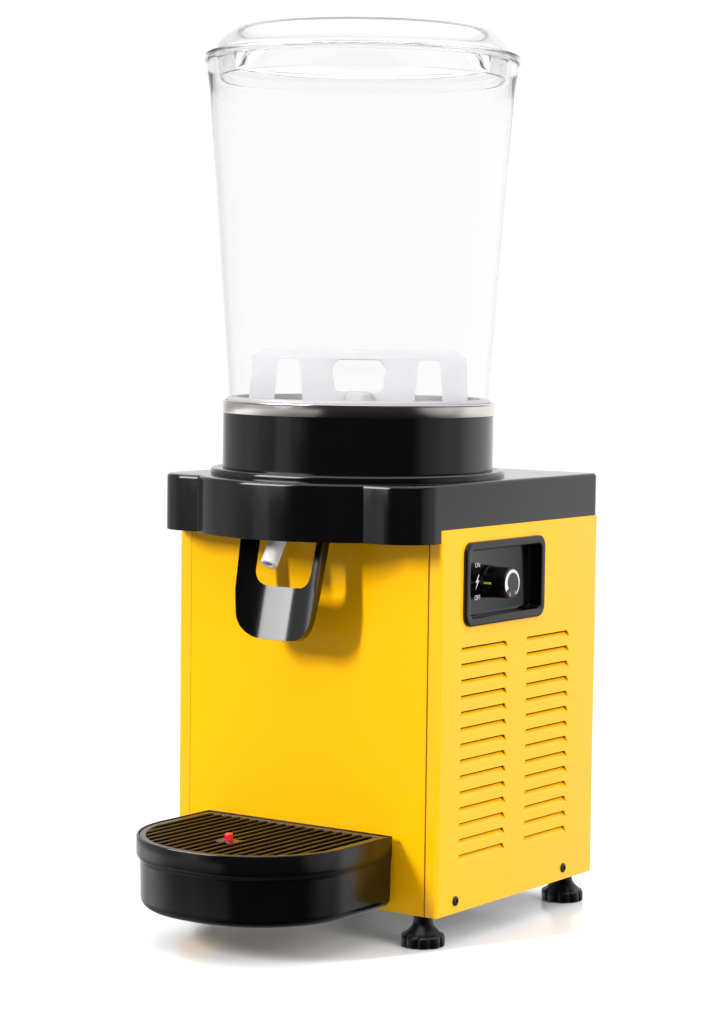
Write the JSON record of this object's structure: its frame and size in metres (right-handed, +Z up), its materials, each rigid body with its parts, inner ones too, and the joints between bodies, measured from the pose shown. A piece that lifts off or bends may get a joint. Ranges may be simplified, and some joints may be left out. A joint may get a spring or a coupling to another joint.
{
  "type": "cold drink dispenser",
  "caption": "Counter-top cold drink dispenser: clear lidded bowl with a paddle on a cooled base, push lever tap, drip tray with float, louvred cabinet, side dial and screw feet.",
  "frame": {"origin": "bottom centre of the whole part, on the counter under its four feet", "axes": "+Z up; -Y towards the person who pours, where the tap and the drip tray are; +X to that person's right, the side with the dial"},
  "size_m": [0.266, 0.3934, 0.7037],
  "materials": {
    "yellow_paint": "semi gloss powder coat, fine texture",
    "zinc_steel": "bright zinc plate",
    "black_screw": "black oxide",
    "black_cover": "moulded, half gloss",
    "black_plastic": "moulded, fine grain",
    "foot_plastic": "moulded, fine grain",
    "stainless": "turned stainless steel",
    "foam": "cream foam",
    "copper": "drawn copper",
    "motor_paint": "grey lacquer",
    "seal_rubber": "smooth",
    "paddle_plastic": "white, smooth",
    "clear_plastic": "clear, polished",
    "gasket_rubber": "translucent, soft",
    "silicone": "white silicone, satin",
    "lever_plastic": "moulded, half gloss",
    "tray_plastic": "moulded, satin",
    "grille_plastic": "moulded, satin",
    "red_plastic": "moulded red",
    "bezel_plastic": "moulded, gloss rim",
    "dial_plastic": "moulded, satin",
    "dial_print": "printed grey",
    "compressor_paint": "black lacquer",
    "condenser_fins": "plain fins"
  },
  "bodies": {
    "cabinet": {"base_pan": "zinc_steel", "foot_nuts": "zinc_steel", "left_side_panel": "yellow_paint", "right_side_panel": "yellow_paint", "side_screws": "black_screw", "front_panel": "yellow_paint", "rear_panel": "yellow_paint", "rear_screws": "black_screw", "cord_gland": "black_plastic", "top_cover": "black_cover", "bowl_collar": "black_plastic", "evaporator_housing": "black_plastic", "evaporator_dish": "stainless", "foam_ring": "foam", "evaporator_coil": "copper", "motor_plate": "zinc_steel", "motor_screws": "zinc_steel", "agitator_motor": "motor_paint", "shaft_seal": "seal_rubber", "outlet_tube": "silicone", "tap_bracket": "zinc_steel", "lever_pin": "zinc_steel", "control_bezel": "bezel_plastic", "thermostat": "black_plastic", "tray_hanger": "zinc_steel", "compressor": "compressor_paint", "compressor_plate": "zinc_steel", "compressor_grommets": "seal_rubber", "condenser": "condenser_fins", "condenser_feet": "zinc_steel", "fan_shroud": "zinc_steel", "fan_motor": "motor_paint", "filter_drier": "copper"},
    "lever": {"lever": "lever_plastic", "lever_spring": "zinc_steel"},
    "drive_shaft": {"drive_shaft": "zinc_steel"},
    "agitator": {"agitator": "paddle_plastic"},
    "bowl": {"bowl": "clear_plastic", "bowl_gasket": "gasket_rubber"},
    "lid": {"lid": "clear_plastic"},
    "tray": {"drip_tray": "tray_plastic"},
    "grille": {"tray_grille": "grille_plastic"},
    "float": {"level_float": "red_plastic"},
    "dial": {"dial": "dial_plastic", "dial_cap": "dial_print", "dial_shaft": "zinc_steel"},
    "fan": {"fan_blades": "black_plastic", "fan_shaft": "zinc_steel"},
    "foot_front_left": {"foot_front_left": "foot_plastic", "foot_stud_front_left": "zinc_steel"},
    "foot_front_right": {"foot_front_right": "foot_plastic", "foot_stud_front_right": "zinc_steel"},
    "foot_rear_left": {"foot_rear_left": "foot_plastic", "foot_stud_rear_left": "zinc_steel"},
    "foot_rear_right": {"foot_rear_right": "foot_plastic", "foot_stud_rear_right": "zinc_steel"}
  },
  "joints": [
    {"name": "lever_push", "type": "hinge", "parent": "cabinet", "child": "lever", "pos_m": [-0.0064, -0.0603, 0.337], "axis": [1, 0, 0], "range_deg": [0, 15], "stiffness_Nm_per_rad": 1.2, "springref_deg": -22.92},
    {"name": "shaft_turn", "type": "hinge", "parent": "cabinet", "child": "drive_shaft", "pos_m": [-0.0064, 0.0212, 0.355], "axis": [0, 0, 1], "continuous": true},
    {"name": "agitator_lift", "type": "slide", "parent": "drive_shaft", "child": "agitator", "axis": [0, 0, 1], "range_m": [0, 0.025]},
    {"name": "bowl_lift", "type": "slide", "parent": "cabinet", "child": "bowl", "axis": [0, 0, 1], "range_m": [0, 0.1]},
    {"name": "lid_lift", "type": "slide", "parent": "bowl", "child": "lid", "axis": [0, 0, 1], "range_m": [0, 0.12]},
    {"name": "tray_pull", "type": "slide", "parent": "cabinet", "child": "tray", "axis": [0, -1, 0], "range_m": [0, 0.06]},
    {"name": "grille_lift", "type": "slide", "parent": "tray", "child": "grille", "axis": [0, 0, 1], "range_m": [0, 0.05]},
    {"name": "float_rise", "type": "slide", "parent": "tray", "child": "float", "axis": [0, 0, 1], "range_m": [0, 0.03]},
    {"name": "dial_turn", "type": "hinge", "parent": "cabinet", "child": "dial", "pos_m": [0.111, 0.0317, 0.275], "axis": [1, 0, 0], "range_deg": [0, 270]},
    {"name": "fan_turn", "type": "hinge", "parent": "cabinet", "child": "fan", "pos_m": [-0.0064, 0.1237, 0.129], "axis": [0, 1, 0], "continuous": true},
    {"name": "foot_turn_front_left", "type": "hinge", "parent": "cabinet", "child": "foot_front_left", "pos_m": [-0.1114, -0.0341, 0.015], "axis": [0, 0, 1], "continuous": true},
    {"name": "foot_turn_front_right", "type": "hinge", "parent": "cabinet", "child": "foot_front_right", "pos_m": [0.0986, -0.0341, 0.015], "axis": [0, 0, 1], "continuous": true},
    {"name": "foot_turn_rear_left", "type": "hinge", "parent": "cabinet", "child": "foot_rear_left", "pos_m": [-0.1114, 0.1735, 0.015], "axis": [0, 0, 1], "continuous": true},
    {"name": "foot_turn_rear_right", "type": "hinge", "parent": "cabinet", "child": "foot_rear_right", "pos_m": [0.0986, 0.1735, 0.015], "axis": [0, 0, 1], "continuous": true}
  ]
}
